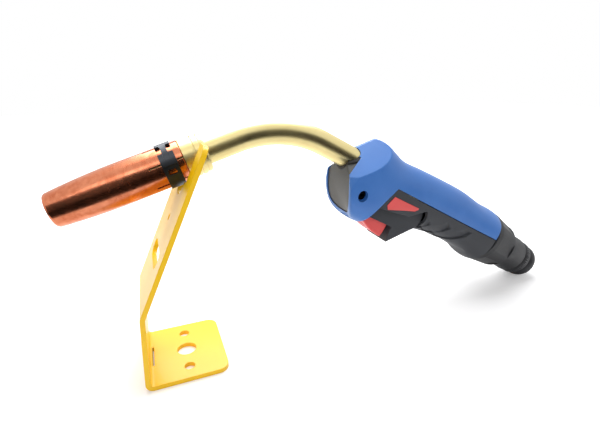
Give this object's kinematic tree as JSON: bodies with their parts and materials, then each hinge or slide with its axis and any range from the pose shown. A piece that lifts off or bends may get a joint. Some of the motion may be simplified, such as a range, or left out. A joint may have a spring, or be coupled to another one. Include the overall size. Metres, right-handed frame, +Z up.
{
  "type": "mig welding torch",
  "caption": "Air-cooled welding torch with a swan neck, slotted nozzle, trigger handle and swivelling cable support, lying in a bent sheet-steel bench rest.",
  "frame": {"origin": "centre of the bench rest's large base hole, on the bench", "axes": "+Z up, square to the bench; +X from the rest towards the torch's handle; +Y across the rest"},
  "size_m": [0.3895, 0.06, 0.1571],
  "materials": {
    "yellow_paint": "satin powder coat",
    "copper": "drawn and polished copper",
    "spring_steel": "dark oiled spring steel",
    "turned_brass": "satin turned brass",
    "white_ceramic": "fired ceramic",
    "bare_steel": "bright zinc",
    "blue_shell": "fine moulded texture",
    "dark_grip": "soft-touch moulding",
    "red_plastic": "satin moulding",
    "grey_insert": "satin moulding",
    "black_rubber": "matt",
    "black_plastic": "satin moulding",
    "black_screw": "black oxide"
  },
  "bodies": {
    "rest": {"rest_bracket": "yellow_paint"},
    "torch": {"nozzle_seat": "turned_brass", "neck_collar": "turned_brass", "neck_tube": "turned_brass", "inner_conduit": "bare_steel", "tip_holder": "turned_brass", "gas_diffuser": "white_ceramic", "contact_tip": "copper", "handle_shell_left": "blue_shell", "handle_shell_right": "blue_shell", "grip": "dark_grip", "badge_plate": "red_plastic", "front_plug": "grey_insert", "neck_seal": "black_rubber", "neck_clamp": "black_plastic", "cable_adaptor": "turned_brass", "top_plug": "blue_shell", "trigger_housing": "dark_grip", "trigger_pin": "bare_steel", "trigger_spring": "bare_steel", "switch_body": "black_plastic", "handle_screw": "black_screw", "handle_nut": "bare_steel", "rear_sleeve": "black_plastic"},
    "nozzle": {"gas_nozzle": "copper", "nozzle_clamp": "spring_steel"},
    "trigger": {"trigger": "red_plastic"},
    "plunger": {"switch_plunger": "red_plastic"},
    "lock_ring": {"lock_ring": "black_plastic"},
    "swivel": {"cable_swivel": "black_plastic"}
  },
  "joints": [
    {"name": "torch_lift", "type": "slide", "parent": "rest", "child": "torch", "axis": [0.4242, 0, 0.9056], "range_m": [0, 0.04]},
    {"name": "nozzle_pull", "type": "slide", "parent": "torch", "child": "nozzle", "axis": [-0.9554, 0, -0.2954], "range_m": [0, 0.08]},
    {"name": "trigger_press", "type": "hinge", "parent": "torch", "child": "trigger", "pos_m": [0.14011, 0, 0.08748], "axis": [0, -1, 0], "range_deg": [0, 7], "stiffness_Nm_per_rad": 0.5, "springref_deg": -1.72},
    {"name": "plunger_travel", "type": "slide", "parent": "torch", "child": "plunger", "axis": [0.479, 0, 0.8778], "range_m": [0, 0.0014]},
    {"name": "lock_ring_turn", "type": "hinge", "parent": "torch", "child": "lock_ring", "pos_m": [0.25414, 0, 0.05065], "axis": [0.8497, 0, -0.5273], "range_deg": [0, 90]},
    {"name": "swivel_turn", "type": "hinge", "parent": "torch", "child": "swivel", "pos_m": [0.31931, 0, 0.01021], "axis": [0.8497, 0, -0.5273], "continuous": true}
  ],
  "couplings": [
    {"joint": "plunger_travel", "follows": "trigger_press", "m_per_rad": 0.0115}
  ]
}
